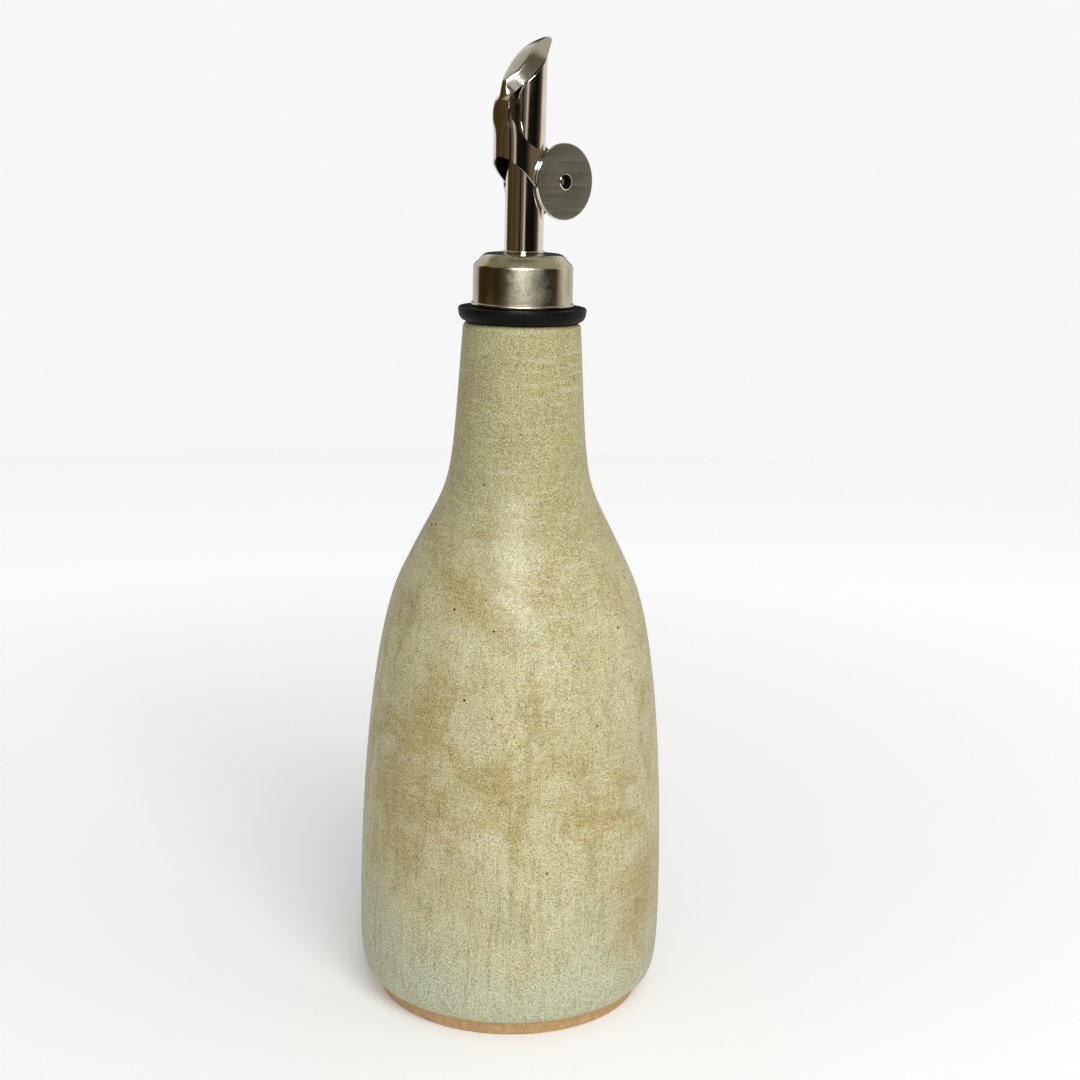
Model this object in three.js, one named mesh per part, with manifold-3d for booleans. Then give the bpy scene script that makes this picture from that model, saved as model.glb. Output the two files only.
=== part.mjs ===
// Stoneware oil bottle with a weighted flip-lid pourer.
// Millimetres, +Z up, origin at the centre of the foot. The discs hang on the +X side,
// which is also the side that the pourer pours to.
import * as THREE from 'three';
import { mergeVertices } from 'three/addons/utils/BufferGeometryUtils.js';
import Module from 'manifold-3d';

// --- driving dimensions ---------------------------------------------------------------

// bottle
const RIM_Z = 184.4;            // height of the neck rim
const BODY_R = 41.5;            // widest radius of the body
const BODY_STRAIGHT_Z = 22;     // the lower corner ends here
const SHOULDER = [31.13, 117.13]; // where the shoulder turns from convex to concave
const SHOULDER_LEAN = 0.47;     // how far it leans in per mm of height there
const NECK_R = 15.5;
const RIM_ROUND = 1.8;
const BORE_R = 10.6;
const WALL = 5;
const FOOT_R = 36;
const FOOT_INNER_R = 30.5;
const FOOT_RECESS = 3;
const FLOOR_Z = 8.5;            // inside floor
const GLAZE_Z = 4.2;            // the glaze ends here, on a small step over the bare foot

// pourer, heights measured from the neck rim
const SEAM = 0.1;               // air gap where two pieces rest on each other
const FLANGE_R = 16.8;
const FLANGE_H = 3.8;
const CAP_R = 13;
const CAP_WALL = 0.7;
const CAP_TOP = 17.6;
const CAP_TOP_R = 9;
const CAP_SHOULDER_H = 3.7;
const CAP_BEAD = 0.55;
const BOSS_TOP = 13;
const PLUG_R = 9.5;
const PLUG_RIB_R = 10.35;
const PLUG_DEPTH = 22;
const PLUG_RIBS = 4;
const TUBE_R = 5;
const TUBE_WALL = 0.5;
const TUBE_BOTTOM = -24;
const TUBE_HOLE_R = 5.15;
const MOUTH_Z = 63.85;          // the mouth is cut at 45 degrees and crosses the axis here
const RING_R = 5.45;
const RING_H = 0.6;
const VENT_R = 1.25;
const VENT_WALL = 0.35;
const VENT_OFFSET = 7.3;
const VENT_ANGLE = 0.8;         // radians from +X
const VENT_BOTTOM = -44;
const VENT_PROUD = 0.35;

// hinge
const HINGE_X = -6.6;
const HINGE_Z = 45.4;
const PIN_R = 0.6;
const PIN_HALF = 4.3;
const PIN_HOLE_R = 0.75;
const KNUCKLE_R = 1.1;
const KNUCKLE_HALF = 1.9;

// flap, one stamped sheet: saddle, wings and lid
const SHEET = 0.4;
const SADDLE_X = -3.65;         // centre of the saddle's round front
const SADDLE_R = 5.55;          // its outer radius, and each wing's distance from the middle
const SADDLE_BOTTOM = 41.9;     // lower edge at the front
const SADDLE_TOP = 55;
const LOWER_SLOPE = 0.91;       // the lower edge falls this much per mm towards the tab
const SCOOP = { x: 1.3, z: 53.8, width: 9.4, height: 10 }; // elliptic cut over the wings
const TAB_R = 9.2;              // round end of each wing
const TAB_JOIN_X = 4.5;         // the tab's circle is fully reached here
const NECK_HALF = 2.65;         // half width of the strip that carries the lid
const PRESS = { depth: 0.6, z: 52.3, spread: 3.2 }; // front corners pressed outwards
const BEND = 0.12;              // softness of the bends beside the lid's flat crest

// counterweights
const DISC_X = 8.1;
const DISC_Z = 35.9;
const DISC_R = 9.8;
const DISC_T = 0.95;
const DISC_EDGE = 0.15;
const DISC_GAP = 0.05;
const RIVET_R = 1.75;
const RIVET_BORE_R = 1.5;
const RIVET_LIP_R = 2.15;
const RIVET_LIP_T = 0.22;
const RIVET_HOLE_R = 1.85;
const SPACER_R = 2.4;

// --- materials ------------------------------------------------------------------------

const metal = (color, roughness) => new THREE.MeshStandardMaterial({ color, roughness, metalness: 1 });
const GLAZE = new THREE.MeshStandardMaterial({ color: 0x8f9179, roughness: 0.5, metalness: 0 });
const RUBBER = new THREE.MeshStandardMaterial({ color: 0x141414, roughness: 0.8, metalness: 0 });
const POLISHED = metal(0xd2cfc8, 0.12);
const BRUSHED = metal(0x8c8b80, 0.35);

// --- solids ---------------------------------------------------------------------------

const wasm = await Module();
wasm.setup();

const solid = (geometry) => {
  const bare = geometry.clone();
  bare.deleteAttribute('normal');
  bare.deleteAttribute('uv');
  const merged = mergeVertices(bare);
  return new wasm.Manifold(new wasm.Mesh({
    numProp: 3,
    vertProperties: merged.attributes.position.array,
    triVerts: Uint32Array.from(merged.index.array),
  }));
};

const geometryOf = (manifold) => {
  const mesh = manifold.getMesh();
  const geometry = new THREE.BufferGeometry();
  geometry.setAttribute('position', new THREE.BufferAttribute(mesh.vertProperties, 3));
  geometry.setIndex(new THREE.BufferAttribute(mesh.triVerts, 1));
  geometry.computeVertexNormals();
  return geometry;
};

// A profile of (radius, height) points turned about +Z.
const turned = (points, segments) => new THREE.LatheGeometry(
  points.map(([r, z]) => new THREE.Vector2(r, z)), segments).rotateX(Math.PI / 2);

const ring = (inner, outer, low, high, segments) => turned(
  [[inner, low], [outer, low], [outer, high], [inner, high], [inner, low]], segments);

const rod = (radius, low, high, segments) => turned(
  [[0, low], [radius, low], [radius, high], [0, high]], segments);

// Turns a shape that was made about +Z so that it lies along Y through (x, z).
const alongY = (geometry, x, z) => geometry.rotateX(Math.PI / 2).translate(x, 0, z);

const curvePoints = (path, divisions) => path.getPoints(divisions).map((p) => [p.x, p.y]);

// An outline in X and Z, given thickness along Y, centred on the XZ plane.
const plate = (shape, half, divisions) => new THREE.ExtrudeGeometry(shape, {
  depth: 2 * half, bevelEnabled: false, curveSegments: divisions,
}).translate(0, 0, -half).rotateX(Math.PI / 2);

// --- bottle ---------------------------------------------------------------------------

function bottle() {
  const [waistR, waistZ] = SHOULDER;
  const inside = (r) => r - WALL;
  const path = new THREE.Path();
  path.moveTo(0, FOOT_RECESS);
  path.lineTo(FOOT_INNER_R - FOOT_RECESS / 2, FOOT_RECESS);
  path.lineTo(FOOT_INNER_R, 0);
  path.lineTo(FOOT_R - 0.5, 0);
  path.lineTo(FOOT_R + 0.4, 0.9);
  path.lineTo(FOOT_R + 0.9, 3.6);
  path.lineTo(FOOT_R + 1.4, GLAZE_Z);
  path.bezierCurveTo(FOOT_R + 4.4, 5.3, BODY_R, 7.6, BODY_R, BODY_STRAIGHT_Z);
  path.bezierCurveTo(
    BODY_R, 60.5,
    waistR + SHOULDER_LEAN * 15.1, waistZ - 15.1,
    waistR, waistZ);
  path.bezierCurveTo(
    waistR - SHOULDER_LEAN * 29.7, waistZ + 29.7,
    NECK_R + 3.1, RIM_Z - 51.5,
    NECK_R, RIM_Z - RIM_ROUND);
  path.quadraticCurveTo(NECK_R, RIM_Z, NECK_R - RIM_ROUND, RIM_Z);
  path.lineTo(BORE_R + RIM_ROUND, RIM_Z);
  path.quadraticCurveTo(BORE_R, RIM_Z, BORE_R, RIM_Z - RIM_ROUND);
  path.lineTo(BORE_R, 152);
  path.bezierCurveTo(BORE_R, 136, inside(waistR) - 7, waistZ + 12, inside(waistR) - 0.8, waistZ - 3);
  path.bezierCurveTo(inside(BODY_R) - 1, 98, inside(BODY_R), 62, inside(BODY_R), BODY_STRAIGHT_Z);
  path.bezierCurveTo(inside(BODY_R), FLOOR_Z + 5, inside(BODY_R) - 4, FLOOR_Z, inside(BODY_R) - 10, FLOOR_Z);
  path.lineTo(0, FLOOR_Z);
  return turned(curvePoints(path, 6), 48);
}

// --- fixed pieces of the pourer -------------------------------------------------------

// Flange, boss inside the cap, and a tapered plug with ribs, bored for both tubes.
function rubberStopper() {
  const profile = [[TUBE_HOLE_R, -PLUG_DEPTH], [PLUG_R - 1, -PLUG_DEPTH]];
  const pitch = (PLUG_DEPTH - 3) / PLUG_RIBS;
  for (let i = 0; i < PLUG_RIBS; i += 1) {
    const low = -PLUG_DEPTH + 0.8 + i * pitch;
    profile.push([PLUG_R - 0.3, low], [PLUG_RIB_R, low + pitch * 0.55]);
    profile.push([PLUG_RIB_R, low + pitch * 0.75], [PLUG_R - 0.3, low + pitch * 0.8]);
  }
  profile.push([PLUG_R, SEAM], [FLANGE_R - 1.9, SEAM], [FLANGE_R - 0.7, 0.6]);
  profile.push([FLANGE_R - 0.15, 1.9], [FLANGE_R, 3.1], [FLANGE_R - 0.2, 3.6], [FLANGE_R - 0.7, FLANGE_H]);
  const bossR = CAP_R - CAP_WALL - 0.3;
  profile.push([bossR, FLANGE_H], [bossR, BOSS_TOP - 1], [bossR - 1, BOSS_TOP]);
  profile.push([TUBE_HOLE_R, BOSS_TOP], [TUBE_HOLE_R, -PLUG_DEPTH]);
  const vent = rod(VENT_R + 0.15, -PLUG_DEPTH - 1, BOSS_TOP + 1, 16)
    .translate(VENT_OFFSET * Math.cos(VENT_ANGLE), VENT_OFFSET * Math.sin(VENT_ANGLE), 0);
  return geometryOf(solid(turned(profile, 36)).subtract(solid(vent)));
}

// Spun cap with a rolled bead at its lower edge and a sloping, rounded shoulder.
function collarCap() {
  const low = FLANGE_H + SEAM;
  const inner = CAP_R - CAP_WALL;
  const path = new THREE.Path();
  path.moveTo(inner, low);
  path.lineTo(CAP_R - 0.1, low);
  path.absarc(CAP_R - 0.1, low + CAP_BEAD, CAP_BEAD, -Math.PI / 2, Math.PI / 2);
  path.lineTo(CAP_R, low + 2 * CAP_BEAD + 0.1);
  path.lineTo(CAP_R, CAP_TOP - CAP_SHOULDER_H);
  path.quadraticCurveTo(CAP_R, CAP_TOP - 3.1, CAP_R - 0.8, CAP_TOP - 2.4);
  path.lineTo(CAP_R - 1.4, CAP_TOP - 1.8);
  path.bezierCurveTo(CAP_R - 2, CAP_TOP - 1.1, CAP_R - 2.6, CAP_TOP, CAP_TOP_R, CAP_TOP);
  path.lineTo(TUBE_HOLE_R, CAP_TOP);
  path.lineTo(TUBE_HOLE_R, CAP_TOP - CAP_WALL);
  path.lineTo(CAP_TOP_R - 0.2, CAP_TOP - CAP_WALL);
  path.bezierCurveTo(
    CAP_TOP_R + 1.2, CAP_TOP - CAP_WALL, inner, CAP_TOP - CAP_SHOULDER_H + 0.5,
    inner, CAP_TOP - CAP_SHOULDER_H - 0.3);
  path.lineTo(inner, low);
  const vent = rod(VENT_R + 0.1, CAP_TOP - 4, CAP_TOP + 1, 16)
    .translate(VENT_OFFSET * Math.cos(VENT_ANGLE), VENT_OFFSET * Math.sin(VENT_ANGLE), 0);
  return geometryOf(solid(turned(curvePoints(path, 4), 44)).subtract(solid(vent)));
}

function tubeRing() {
  const low = CAP_TOP + SEAM;
  const inner = TUBE_HOLE_R - 0.05;
  return turned([
    [inner, low], [RING_R, low], [RING_R, low + 0.5 * RING_H],
    [RING_R - 0.12, low + 0.85 * RING_H], [RING_R - 0.25, low + RING_H],
    [inner, low + RING_H], [inner, low],
  ], 36);
}

// Everything above a 45 degree plane that crosses the axis at z.
function aboveSlope(z) {
  const shape = new THREE.Shape();
  shape.moveTo(-12, z - 12);
  shape.lineTo(12, z + 12);
  shape.lineTo(12, z + 24);
  shape.lineTo(-12, z + 24);
  return solid(plate(shape, 12, 1));
}

function pourTube() {
  const inner = TUBE_R - TUBE_WALL;
  const blank = turned([
    [inner + 0.7, TUBE_BOTTOM], [TUBE_R + 0.7, TUBE_BOTTOM], [TUBE_R, TUBE_BOTTOM + 1.4],
    [TUBE_R, MOUTH_Z + 8], [inner, MOUTH_Z + 8], [inner, TUBE_BOTTOM + 1.6],
    [inner + 0.7, TUBE_BOTTOM],
  ], 40);
  return geometryOf(solid(blank).subtract(aboveSlope(MOUTH_Z)));
}

function airVent() {
  return ring(VENT_R - VENT_WALL, VENT_R, VENT_BOTTOM, CAP_TOP + VENT_PROUD, 16)
    .translate(VENT_OFFSET * Math.cos(VENT_ANGLE), VENT_OFFSET * Math.sin(VENT_ANGLE), 0);
}

// Barrel for the pin on a short lug that is fixed to the front of the tube.
function hingeKnuckle() {
  const barrel = solid(alongY(rod(KNUCKLE_R, -KNUCKLE_HALF, KNUCKLE_HALF, 20), HINGE_X, HINGE_Z));
  const lug = solid(new THREE.BoxGeometry(2, 2 * KNUCKLE_HALF, 1.6).translate(-5.3, 0, HINGE_Z));
  const bore = solid(alongY(rod(PIN_HOLE_R, -9, 9, 20), HINGE_X, HINGE_Z));
  const tube = solid(rod(TUBE_R + 0.08, HINGE_Z - 9, HINGE_Z + 9, 40));
  return geometryOf(barrel.add(lug).subtract(bore).subtract(tube));
}

// --- flap -----------------------------------------------------------------------------

const clamp = (value, low, high) => Math.min(high, Math.max(low, value));

// The side view's upper edge of saddle and wings: neck strip, scoop, then the round tab.
function wingTop(x, y) {
  if (Math.abs(y) < NECK_HALF + 0.01) return SADDLE_TOP;
  if (x <= SCOOP.x) {
    const reach = 1 - ((x - SCOOP.x) / SCOOP.width) ** 2;
    return SCOOP.z - SCOOP.height * Math.sqrt(Math.max(0, reach));
  }
  const share = clamp((x - SCOOP.x) / (TAB_JOIN_X - SCOOP.x), 0, 1);
  return (SCOOP.z - SCOOP.height) * (1 - share) + (DISC_Z + tabHalf(x)) * share;
}

function wingBottom(x) {
  if (x > DISC_X - TAB_R + 0.02) return DISC_Z - tabHalf(x);
  return SADDLE_BOTTOM - (x + SADDLE_R - SADDLE_X) * LOWER_SLOPE;
}

function tabHalf(x) {
  return Math.sqrt(Math.max(0, TAB_R ** 2 - (x - DISC_X) ** 2));
}

// How far the saddle's front corners are pressed out towards -X under the neck.
function pressed(y, z) {
  const side = Math.min(1, (y / NECK_HALF) ** 2) * (1 - (y / SADDLE_R) ** 6);
  return PRESS.depth * side * Math.exp(-(((z - PRESS.z) / PRESS.spread) ** 2));
}

// Lines (x, y) from the near wing's end, round the front, to the far wing's end. The ones
// of the neck strip are counted by neckSteps.
const neckSteps = 14;
function sheetLines() {
  const tabSteps = 14;
  const flatSteps = 3;
  const roundSteps = 12;
  const near = [];
  for (let i = 0; i < tabSteps; i += 1) {
    near.push([DISC_X + TAB_R * Math.cos((Math.PI * (i + 0.5)) / tabSteps), -SADDLE_R]);
  }
  for (let i = 0; i < flatSteps; i += 1) {
    const start = DISC_X - TAB_R;
    near.push([start + ((SADDLE_X - start) * i) / flatSteps, -SADDLE_R]);
  }
  const neckAngle = Math.asin(NECK_HALF / SADDLE_R);
  for (let i = 0; i < roundSteps; i += 1) {
    const angle = neckAngle + (Math.PI / 2 - neckAngle) * (1 - i / roundSteps) ** 1.4;
    near.push([SADDLE_X - SADDLE_R * Math.cos(angle), -SADDLE_R * Math.sin(angle)]);
  }
  const middle = [];
  for (let i = 0; i <= neckSteps; i += 1) {
    const y = NECK_HALF * ((2 * i) / neckSteps - 1);
    middle.push([SADDLE_X - Math.sqrt(SADDLE_R ** 2 - y * y), y]);
  }
  const far = near.map(([x, y]) => [x, -y]).reverse();
  return { lines: [...near, ...middle, ...far], first: near.length };
}

// Stations from the neck to the lid's tip: crest (x, z), direction down to the rim in
// degrees below +X, half width at the rim, depth, and half width of the flat crest.
const HOOD = [
  [-9.2, 55, 0, 2.65, 0.37, 0.3],
  [-9.05, 55.7, 2, 2.6, 0.4, 0.5],
  [-8.72, 56.5, 10, 2.45, 0.5, 0.9],
  [-8.45, 57.6, 32, 2.15, 1.15, 1],
  [-8.3, 59.2, 36, 2.4, 2.36, 0.8],
  [-7.95, 60.8, 44, 2.95, 3.05, 0.75],
  [-6.53, 62.3, 45, 3.8, 3.1, 1.6],
  [-4.92, 63.85, 45, 4.35, 3.1, 2.2],
  [-3.3, 65.75, 45, 4.75, 3.3, 2.4],
  [-1.7, 67.55, 45, 4.95, 3.45, 2.2],
  [-0.3, 68.75, 45, 4.75, 3.28, 2.05],
  [1.2, 69.75, 45, 4.1, 2.95, 1.9],
  [2.9, 70.7, 45, 3.15, 2.4, 1.55],
  [4.7, 71.5, 45, 2.15, 1.78, 1.05],
  [6.1, 72, 45, 1.35, 1.24, 0.6],
  [7.3, 72.1, 45, 0.6, 0.45, 0.2],
];

// 0 on the flat crest, then a soft bend into a straight skirt that reaches 1.
const bent = (share) => (share + Math.hypot(share, BEND)) / (1 + Math.hypot(1, BEND));

function hoodRow(u) {
  const place = Math.min(u * (HOOD.length - 1), HOOD.length - 1.000001);
  const i = Math.floor(place);
  const t = place - i;
  const at = (k) => HOOD[clamp(i + k, 0, HOOD.length - 1)];
  const [x, z, tilt, half, depth, flat] = HOOD[0].map((_, n) => {
    const [p, q, r, s] = [at(-1)[n], at(0)[n], at(1)[n], at(2)[n]];
    return 0.5 * (2 * q + (r - p) * t + (2 * p - 5 * q + 4 * r - s) * t * t
      + (3 * q - p - 3 * r + s) * t ** 3);
  });
  const down = (tilt * Math.PI) / 180;
  const lid = clamp((z - 56) / 3, 0, 1);
  const row = [];
  for (let k = 0; k <= neckSteps; k += 1) {
    const y = half * ((2 * k) / neckSteps - 1);
    const arch = (y / half) ** 2;
    const drop = depth * (bent((Math.abs(y) - flat) / (half - flat)) * lid + arch * (1 - lid));
    row.push(new THREE.Vector3(x + drop * Math.cos(down), y, z - drop * Math.sin(down)));
  }
  return row;
}

// The stamped sheet's outer face: points, and quads that are seen from outside.
function flapFace() {
  const rows = 12;
  const hoodRows = 30;
  const { lines, first } = sheetLines();
  const points = [];
  const quads = [];
  for (const [x, y] of lines) {
    const low = wingBottom(x);
    const high = wingTop(x, y);
    for (let j = 0; j <= rows; j += 1) {
      const z = low + ((high - low) * j) / rows;
      points.push(new THREE.Vector3(x < SADDLE_X ? x - pressed(y, z) : x, y, z));
    }
  }
  const stride = rows + 1;
  for (let i = 0; i < lines.length - 1; i += 1) {
    for (let j = 0; j < rows; j += 1) {
      const a = i * stride + j;
      quads.push([a, a + 1, a + stride + 1, a + stride]);
    }
  }
  let below = Array.from({ length: neckSteps + 1 }, (_, k) => (first + k) * stride + rows);
  for (let i = 1; i <= hoodRows; i += 1) {
    const row = hoodRow(i / hoodRows).map((p) => points.push(p) - 1);
    for (let k = 0; k < neckSteps; k += 1) {
      quads.push([below[k], row[k], row[k + 1], below[k + 1]]);
    }
    below = row;
  }
  return { points, quads };
}

// Gives a face thickness inwards and closes it along its open edges.
function thickened({ points, quads }, thickness) {
  const triangles = quads.flatMap(([a, b, c, d]) => [[a, b, c], [a, c, d]]);
  const normals = points.map(() => new THREE.Vector3());
  const edges = new Set();
  for (const [a, b, c] of triangles) {
    const one = points[b].clone().sub(points[a]);
    const normal = one.cross(points[c].clone().sub(points[a]));
    for (const corner of [a, b, c]) normals[corner].add(normal);
    for (const edge of [[a, b], [b, c], [c, a]]) edges.add(edge.join());
  }
  const count = points.length;
  const inner = points.map((p, i) => p.clone().addScaledVector(normals[i].normalize(), -thickness));
  const index = triangles.flatMap(([a, b, c]) => [a, b, c, a + count, c + count, b + count]);
  for (const edge of edges) {
    const [a, b] = edge.split(',').map(Number);
    if (!edges.has(`${b},${a}`)) index.push(b, a, a + count, b, a + count, b + count);
  }
  const geometry = new THREE.BufferGeometry();
  geometry.setAttribute('position', new THREE.Float32BufferAttribute(
    [...points, ...inner].flatMap((p) => p.toArray()), 3));
  geometry.setIndex(index);
  return solid(geometry);
}

function flap() {
  const pinHole = solid(alongY(rod(PIN_HOLE_R, -9, 9, 20), HINGE_X, HINGE_Z));
  const rivetHole = solid(alongY(rod(RIVET_HOLE_R, -9, 9, 24), DISC_X, DISC_Z));
  return geometryOf(thickened(flapFace(), SHEET).subtract(pinHole).subtract(rivetHole));
}

// --- hinge pin and counterweights -----------------------------------------------------

function hingePin() {
  const bevel = 0.12;
  return alongY(turned([
    [0, -PIN_HALF], [PIN_R - bevel, -PIN_HALF], [PIN_R, -PIN_HALF + bevel],
    [PIN_R, PIN_HALF - bevel], [PIN_R - bevel, PIN_HALF], [0, PIN_HALF],
  ], 16), HINGE_X, HINGE_Z);
}

// Flat disc about the rivet's axis, from the wing outwards on the given side of Y.
function discWeight(side) {
  const low = SADDLE_R + DISC_GAP;
  const high = low + DISC_T;
  const disc = turned([
    [RIVET_HOLE_R, low], [DISC_R - DISC_EDGE, low], [DISC_R, low + DISC_EDGE],
    [DISC_R, high - DISC_EDGE], [DISC_R - DISC_EDGE, high], [RIVET_HOLE_R, high],
    [RIVET_HOLE_R, low],
  ], 60);
  return disc.rotateX(side < 0 ? Math.PI / 2 : -Math.PI / 2).translate(DISC_X, 0, DISC_Z);
}

// Tubular rivet with a lip rolled over each disc.
function rivet() {
  const face = SADDLE_R + DISC_GAP + DISC_T + 0.03;
  const end = face + RIVET_LIP_T;
  return alongY(turned([
    [RIVET_BORE_R, -end + 0.1], [RIVET_BORE_R + 0.15, -end], [RIVET_LIP_R - 0.1, -end],
    [RIVET_LIP_R, -face], [RIVET_R, -face], [RIVET_R, face], [RIVET_LIP_R, face],
    [RIVET_LIP_R - 0.1, end], [RIVET_BORE_R + 0.15, end], [RIVET_BORE_R, end - 0.1],
    [RIVET_BORE_R, -end + 0.1],
  ], 24), DISC_X, DISC_Z);
}

function spacerSleeve() {
  const half = SADDLE_R - SHEET - 0.1;
  return alongY(ring(RIVET_HOLE_R, SPACER_R, -half, half, 24), DISC_X, DISC_Z);
}

// --- assembly -------------------------------------------------------------------------

const object = new THREE.Group();
const pourer = new THREE.Group();
pourer.position.z = RIM_Z;
object.add(pourer);

const place = (parent, name, geometry, material) => {
  const mesh = new THREE.Mesh(geometry, material);
  mesh.name = name;
  parent.add(mesh);
};

place(object, 'bottle', bottle(), GLAZE);
place(pourer, 'rubber_stopper', rubberStopper(), RUBBER);
place(pourer, 'collar_cap', collarCap(), POLISHED);
place(pourer, 'tube_base_ring', tubeRing(), POLISHED);
place(pourer, 'pour_tube', pourTube(), POLISHED);
place(pourer, 'air_vent_tube', airVent(), POLISHED);
place(pourer, 'hinge_knuckle', hingeKnuckle(), POLISHED);
place(pourer, 'hinge_pin', hingePin(), POLISHED);
place(pourer, 'flap', flap(), POLISHED);
place(pourer, 'disc_weight_near', discWeight(-1), BRUSHED);
place(pourer, 'disc_weight_far', discWeight(1), BRUSHED);
place(pourer, 'rivet', rivet(), POLISHED);
place(pourer, 'spacer_sleeve', spacerSleeve(), POLISHED);

export default object;
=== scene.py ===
"""A stoneware oil bottle with a weighted flip-lid pourer, on a pale studio floor."""
import math

import bpy
from mathutils import Matrix, Vector


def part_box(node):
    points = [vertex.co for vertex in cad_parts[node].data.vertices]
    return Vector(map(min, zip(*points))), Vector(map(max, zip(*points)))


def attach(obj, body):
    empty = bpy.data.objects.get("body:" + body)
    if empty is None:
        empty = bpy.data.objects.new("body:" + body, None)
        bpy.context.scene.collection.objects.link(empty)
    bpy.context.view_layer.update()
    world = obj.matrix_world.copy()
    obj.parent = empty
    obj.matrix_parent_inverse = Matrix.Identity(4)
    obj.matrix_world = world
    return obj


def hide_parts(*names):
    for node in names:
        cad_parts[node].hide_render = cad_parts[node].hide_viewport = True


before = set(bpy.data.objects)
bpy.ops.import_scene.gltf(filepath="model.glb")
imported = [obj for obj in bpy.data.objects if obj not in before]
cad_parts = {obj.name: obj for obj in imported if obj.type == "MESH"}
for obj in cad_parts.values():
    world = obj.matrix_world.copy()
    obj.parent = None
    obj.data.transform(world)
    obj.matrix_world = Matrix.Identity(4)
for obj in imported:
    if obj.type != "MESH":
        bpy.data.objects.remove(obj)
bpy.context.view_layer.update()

MM = 0.001

# --- driving dimensions, in millimetres, as in the CAD part ---------------------------

# bottle
RIM_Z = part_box("bottle")[1][2] / MM
BODY_R = 41.5
STRAIGHT_Z = 22                 # the lower corner ends here
WAIST_R, WAIST_Z = 31.13, 117.13  # where the shoulder turns from convex to concave
WAIST_LEAN = 0.47               # how far it leans in there, per mm of height
NECK_R = 15.5
RIM_ROUND = 1.8
BORE_R = 10.6
BORE_LOW_Z = 152                # the bore is straight above this
WALL = 5
FLOOR_Z = 8.5                   # inside floor
FOOT_R = 36.0
FOOT_INNER_R = 30.5
FOOT_RECESS = 3
GLAZE_Z = 4.2                   # the glaze ends here, on a small step over the bare foot

# pourer
SEAM = 0.1                      # air gap where two pieces rest on each other
TUBE_R = 5
TUBE_WALL = 0.5
TUBE_BOTTOM = RIM_Z - 24
TUBE_HOLE_R = 5.15
MOUTH_Z = RIM_Z + 63.85         # the mouth is cut at 45 degrees and crosses the axis here
PLUG_BOTTOM = RIM_Z - 22
PLUG_RIBS = 4
RIB_PITCH = 4.75
FLANGE_R, FLANGE_TOP = 16.8, RIM_Z + 3.8
BOSS_R, BOSS_TOP = 12, RIM_Z + 13
CAP_R, CAP_INNER_R = 13.0, 12.3
CAP_TOP = RIM_Z + 17.6
CAP_BEAD = 0.55
VENT_R, VENT_BORE_R = 1.25, 0.9
SCUFF_X, SCUFF_Y = -0.62, -0.78  # the way that the collar's scuffed side faces

# hinge
HINGE_X, HINGE_Z = -6.6, RIM_Z + 45.4
PIN_R, PIN_HALF = 0.6, 3.95
KNUCKLE_R, KNUCKLE_HALF = 1.1, 1.9
KNUCKLE_BORE_R = 0.75

# flap
SHEET = 0.4
SADDLE_X = -3.65                # centre of the saddle's round front
SADDLE_R = 5.55                 # its radius, and each wing's distance from the middle
SADDLE_BOTTOM = RIM_Z + 41.9    # lower edge at the front
SADDLE_TOP = RIM_Z + 55
LOWER_SLOPE = 0.91              # the lower edge falls this much per mm towards the tab
SCOOP_X, SCOOP_Z, SCOOP_R, SCOOP_H = 1.3, RIM_Z + 53.8, 9.4, 10  # elliptic cut over the wings
TAB_R = 9.2                     # round end of each wing
TAB_JOIN_X = 4.5                # the tab's circle is fully reached here
NECK_HALF = 2.65                # half width of the strip that carries the lid
FLARE, FLARE_Z, FLARE_SPREAD = 0.6, RIM_Z + 52.3, 3.2  # front corners pressed outwards
BEND = 0.12                     # softness of the bends beside the lid's flat crest

# counterweights
DISC_X, DISC_Z = 8.1, RIM_Z + 35.9
DISC_R = 9.8
RIVET_HOLE_R = 1.85
SPACER_R = 2.4


# --- mesh tools -----------------------------------------------------------------------

def make_object(name, vertices, faces, sharp=35):
    mesh = bpy.data.meshes.new(name)
    mesh.from_pydata([Vector(v) * MM for v in vertices], [], faces)
    mesh.validate()
    mesh.shade_smooth()
    mesh.set_sharp_from_angle(angle=math.radians(sharp))
    piece = bpy.data.objects.new(name, mesh)
    bpy.context.scene.collection.objects.link(piece)
    return piece


def bezier(a, b, c, d, steps=16):
    """Points after a, up to and with d."""
    out = []
    for i in range(1, steps + 1):
        t = i / steps
        k = ((1 - t) ** 3, 3 * t * (1 - t) ** 2, 3 * t * t * (1 - t), t ** 3)
        out.append(tuple(k[0] * a[n] + k[1] * b[n] + k[2] * c[n] + k[3] * d[n] for n in (0, 1)))
    return out


def arc(cx, cy, r, start, end, steps=8):
    """Points on a circle round (cx, cy), from start to end in degrees."""
    out = []
    for i in range(steps + 1):
        a = math.radians(start + (end - start) * i / steps)
        out.append((cx + r * math.cos(a), cy + r * math.sin(a)))
    return out


def rounded(points, radius, steps=4, closed=True):
    """A polygon of (r, z) points with each corner turned into a small arc-like curve.
    radius is one number, or one for each point."""
    out = []
    count = len(points)
    for i, p in enumerate(points):
        r = radius[i] if isinstance(radius, (list, tuple)) else radius
        if r == 0 or (not closed and i in (0, count - 1)):
            out.append(p)
            continue
        before = Vector(points[i - 1])
        after = Vector(points[(i + 1) % count])
        corner = Vector(p)
        a = corner + (before - corner).normalized() * min(r, 0.48 * (before - corner).length)
        b = corner + (after - corner).normalized() * min(r, 0.48 * (after - corner).length)
        for s in range(steps + 1):
            t = s / steps
            q = a * (1 - t) ** 2 + corner * 2 * t * (1 - t) + b * t * t
            out.append((q.x, q.y))
    return out


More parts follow.
